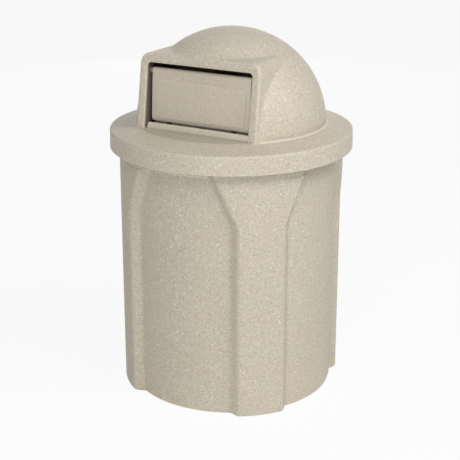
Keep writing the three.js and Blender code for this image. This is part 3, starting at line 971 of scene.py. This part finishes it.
# a bar with round ends through both sides of the tub
def slotCutter():
    bm = bmesh.new()
    half = liner["slotHeight"] / 2
    run, reach = liner["slotWidth"] / 2 - half, liner["cutterHalf"]
    middle = liner["floor"] + liner["height"] - liner["slotDrop"]
    outline = arc(run, middle, half, -90, 90, liner["slotSteps"])
    outline += arc(-run, middle, half, 90, 270, liner["slotSteps"])
    face = bm.faces.new([bm.verts.new((-reach, y, z)) for y, z in outline])
    extrudeFaces(bm, [face], (2 * reach, 0, 0))
    bmesh.ops.recalc_face_normals(bm, faces=bm.faces)
    return addObject("slot_cutter", meshFrom(bm, "slot_cutter"))


def cutAway(piece, cutter, crease):
    cut = piece.modifiers.new("slots", "BOOLEAN")
    cut.operation = "DIFFERENCE"
    cut.object = cutter
    bpy.context.view_layer.update()
    finished = piece.evaluated_get(bpy.context.evaluated_depsgraph_get())
    piece.data = bpy.data.meshes.new_from_object(finished)
    piece.modifiers.clear()
    bpy.data.objects.remove(cutter)
    piece.data.set_sharp_from_angle(angle=radians(crease))


def makeLiner():
    bm = bmesh.new()
    top, wall, high, r = liner["topRadius"], liner["wall"], liner["height"], liner["baseRound"]
    base, rim, rimLow = top - liner["taper"], top + liner["rimWidth"], high - liner["rimDrop"]
    edge, lip, under = liner["rimRound"], liner["lipRound"], high - liner["rimDepth"]
    side = [(base + (top - base) * t, r + (rimLow - r) * t) for t in spread(0, 1, liner["wallRows"])]
    profile = [(0, 0), (base * 0.5, 0)] + arc(base - r, r, r, -90, 0, liner["baseSteps"]) + side[1:]
    profile += [(top, under), (rim - wall, under), (rim - wall, rimLow), (rim, rimLow), (rim, high - edge)]
    profile += arc(rim - edge, high - edge, edge, 0, 90, liner["rimSteps"])[1:]
    profile += arc(top - wall + lip, high - lip, lip, 90, 180, liner["lipSteps"])
    profile += [(across - wall, up) for across, up in reversed(side)]
    profile += arc(base - r, r, r - wall, 0, -90, liner["baseSteps"])[1:]
    profile += [(base * 0.5, wall), (0, wall)]
    turned(bm, profile, liner["steps"])
    bmesh.ops.translate(bm, verts=bm.verts, vec=(0, 0, liner["floor"]))
    piece = makePiece("liner_moulding", bm, "inner_can", ["liner"], linerFinish(),
                      liner["crease"])
    cutAway(piece, slotCutter(), liner["crease"])


makeLiner()
print("liner made")

hingeFinishes = {
    ("hinge_rod", "rod_washer", "rod_cap"): steelFinish(),
    ("hinge_bush", "rod_spacer"): nylonFinish(),
    ("door_bumper",): rubberFinish(),
}
for starts, material in hingeFinishes.items():
    for nodeName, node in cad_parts.items():
        if nodeName.startswith(starts):
            node.data.materials.clear()
            node.data.materials.append(material)
print("hinge finished")


# floor, light and camera
studio = {
    "floorHalf": 30.0,
    "floorTone": (0.86, 0.86, 0.86),
    "floorGlow": 0.92,           # share of the floor's colour that no light changes, as seen
    "white": (1, 1, 1),
    "skyLight": 0.185,
    "lampTarget": (0, 0, 0.5),
    "lampDistance": 4.5,
    # name, azimuth to the right of the camera and elevation in degrees, size, watts
    "lamps": [
        ("low_light", -10, 5, 2.0, 54),
        ("front_light", 0, 45, 2.0, 45),
        ("key_light", 55, 46, 2.2, 81),
        ("side_light", 70, 15, 1.6, 15),
        ("fill_light", -62, 4, 2.6, 5),
        ("back_light", 182, 10, 2.6, 14),
    ],
    "cameraAzimuth": 29.67,
    "cameraPlace": (1.5476, -2.7165, 1.4767),
    "cameraPitch": 18.816,
    "lens": 95.71,
    "sensor": 36,
    "shift": -0.00293,
    "cameraReach": 100,
}


def makeFloor():
    bm = bmesh.new()
    bmesh.ops.create_grid(bm, x_segments=1, y_segments=1, size=studio["floorHalf"])
    finish = newMaterial("pale_floor")
    matt = finish.node("ShaderNodeBsdfDiffuse", None, {"Color": studio["floorTone"]})
    glow = finish.node("ShaderNodeEmission", None, {"Color": studio["white"], "Strength": 1.0})
    glowing = finish.seen() * studio["floorGlow"]
    mixed = finish.node("ShaderNodeMixShader", None, {0: glowing, 1: matt, 2: glow})
    finish.node("ShaderNodeOutputMaterial", None, {"Surface": mixed})
    floor = addObject("floor", meshFrom(bm, "floor"))
    floor.data.materials.append(finish.owner)


def makeSky():
    world = bpy.data.worlds.new("studio")
    bpy.context.scene.world = world
    finish = Finish(world)
    light, white = (finish.node("ShaderNodeBackground", None,
                                {"Color": studio["white"], "Strength": strength})
                    for strength in (studio["skyLight"], 1.0))
    mixed = finish.node("ShaderNodeMixShader", None, {0: finish.seen(), 1: light, 2: white})
    finish.node("ShaderNodeOutputWorld", None, {"Surface": mixed})


def makeLamps():
    target = Vector(studio["lampTarget"])
    for name, azimuth, elevation, size, watts in studio["lamps"]:
        turn, up = radians(studio["cameraAzimuth"] + azimuth), radians(elevation)
        away = Vector((sin(turn) * cos(up), -cos(turn) * cos(up), sin(up)))
        lamp = bpy.data.lights.new(name, "AREA")
        lamp.shape = "DISK"
        lamp.size = size
        lamp.energy = watts
        holder = addObject(name, lamp)
        holder.location = target + away * studio["lampDistance"]
        holder.rotation_euler = (-away).to_track_quat("-Z", "Y").to_euler()
        holder.visible_camera = False


def makeCamera():
    camera = bpy.data.cameras.new("camera")
    camera.lens = studio["lens"]
    camera.sensor_width = studio["sensor"]
    camera.shift_x = studio["shift"]
    camera.clip_end = studio["cameraReach"]
    holder = addObject("camera", camera)
    holder.location = studio["cameraPlace"]
    holder.rotation_euler = (radians(90 - studio["cameraPitch"]), 0, radians(studio["cameraAzimuth"]))
    bpy.context.scene.camera = holder


makeFloor()
makeSky()
makeLamps()
makeCamera()
bpy.context.scene.view_settings.view_transform = "Standard"
print("studio made")

bpy.context.view_layer.update()
